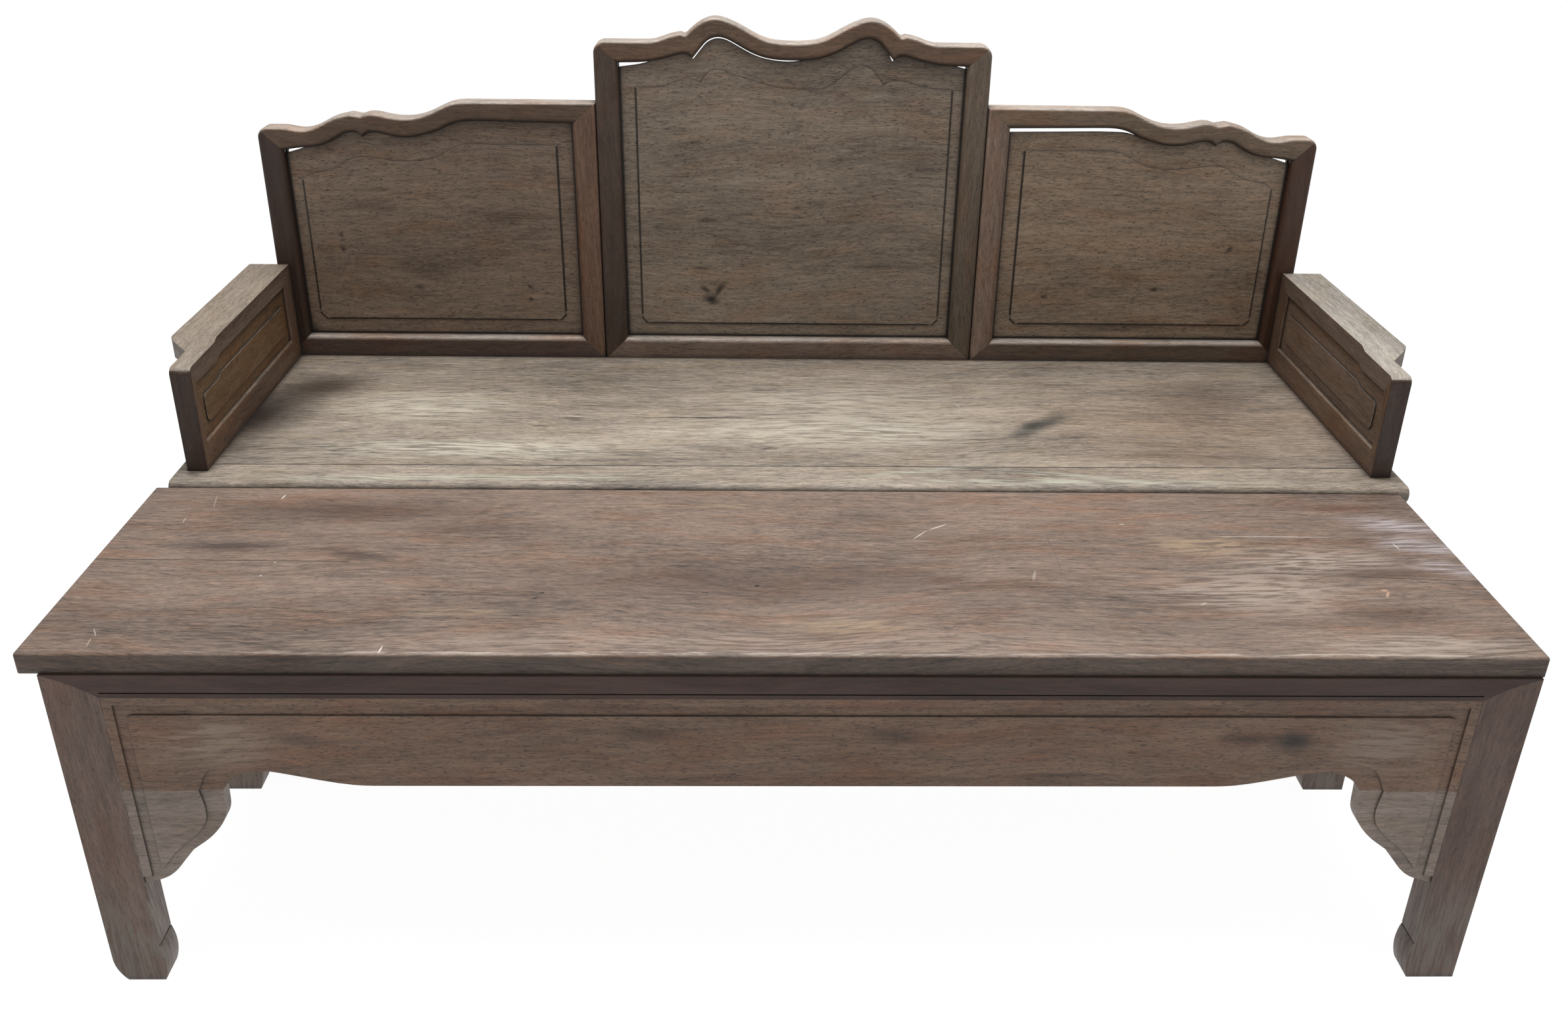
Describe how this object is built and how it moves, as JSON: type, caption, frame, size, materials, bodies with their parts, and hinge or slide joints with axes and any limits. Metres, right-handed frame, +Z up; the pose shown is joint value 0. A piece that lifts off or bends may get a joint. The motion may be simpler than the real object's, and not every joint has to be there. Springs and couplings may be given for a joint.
{
  "type": "luohan daybed",
  "caption": "Hardwood luohan daybed with a stepped framed back, low arms, and a matching front bench with shaped aprons that carries the seat forward.",
  "frame": {"origin": "on the floor, at the middle of the daybed's length and half way from the front of the bench to the rear edge of the seat", "axes": "+X along the length, to the right when seen from the front; +Y from the front bench towards the back; +Z up"},
  "size_m": [1.901, 1.0274, 1.121],
  "materials": {
    "bench_top_wood": "worn satin",
    "seat_wood": "worn matt",
    "leg_wood": "worn satin",
    "waist_wood": "worn satin",
    "apron_wood": "worn satin",
    "frame_wood": "worn satin",
    "panel_wood": "worn satin",
    "arm_wood": "worn satin",
    "arm_top_wood": "worn matt",
    "hidden_wood": "unfinished"
  },
  "bodies": {
    "daybed": {"daybed_apron_front": "apron_wood", "daybed_apron_left": "apron_wood", "daybed_apron_rear": "apron_wood", "daybed_apron_right": "apron_wood", "daybed_battens": "hidden_wood", "daybed_leg_front_left": "leg_wood", "daybed_leg_front_right": "leg_wood", "daybed_leg_rear_left": "leg_wood", "daybed_leg_rear_right": "leg_wood", "daybed_spandrels_front": "apron_wood", "daybed_spandrels_rear": "apron_wood", "daybed_waist_front": "waist_wood", "daybed_waist_rear": "waist_wood", "daybed_waist_sides": "waist_wood", "seat_board_front": "seat_wood", "seat_board_rear": "seat_wood"},
    "back_railing": {"back_centre_bottom_rail": "frame_wood", "back_centre_crest": "frame_wood", "back_centre_panel": "panel_wood", "back_centre_stile_left": "frame_wood", "back_centre_stile_right": "frame_wood", "back_keys": "hidden_wood", "back_left_bottom_rail": "frame_wood", "back_left_crest": "frame_wood", "back_left_panel": "panel_wood", "back_left_stile_left": "frame_wood", "back_left_stile_right": "frame_wood", "back_right_bottom_rail": "frame_wood", "back_right_crest": "frame_wood", "back_right_panel": "panel_wood", "back_right_stile_left": "frame_wood", "back_right_stile_right": "frame_wood"},
    "arm_left": {"arm_left_bottom_rail": "arm_wood", "arm_left_panel": "arm_wood", "arm_left_stile_front": "arm_wood", "arm_left_stile_rear": "arm_wood", "arm_left_top_rail": "arm_top_wood"},
    "arm_right": {"arm_right_bottom_rail": "arm_wood", "arm_right_panel": "arm_wood", "arm_right_stile_front": "arm_wood", "arm_right_stile_rear": "arm_wood", "arm_right_top_rail": "arm_top_wood"},
    "front_bench": {"bench_apron_front": "apron_wood", "bench_apron_left": "apron_wood", "bench_apron_rear": "apron_wood", "bench_apron_right": "apron_wood", "bench_battens": "hidden_wood", "bench_leg_front_left": "leg_wood", "bench_leg_front_right": "leg_wood", "bench_leg_rear_left": "leg_wood", "bench_leg_rear_right": "leg_wood", "bench_nosing_patch": "bench_top_wood", "bench_spandrel_front_left": "apron_wood", "bench_spandrel_front_right": "apron_wood", "bench_spandrels_rear": "apron_wood", "bench_top_front": "bench_top_wood", "bench_top_rear": "bench_top_wood", "bench_waist_front": "waist_wood", "bench_waist_rear": "waist_wood", "bench_waist_sides": "waist_wood"}
  },
  "joints": [
    {"name": "back_lift", "type": "slide", "parent": "daybed", "child": "back_railing", "axis": [0, 0, 1], "range_m": [0, 0.05]},
    {"name": "arm_left_lift", "type": "slide", "parent": "back_railing", "child": "arm_left", "axis": [0, 0, 1], "range_m": [0, 0.04]},
    {"name": "arm_right_lift", "type": "slide", "parent": "back_railing", "child": "arm_right", "axis": [0, 0, 1], "range_m": [0, 0.04]},
    {"name": "bench_pull", "type": "slide", "parent": "daybed", "child": "front_bench", "axis": [0, -1, 0], "range_m": [0, 0.6]}
  ]
}
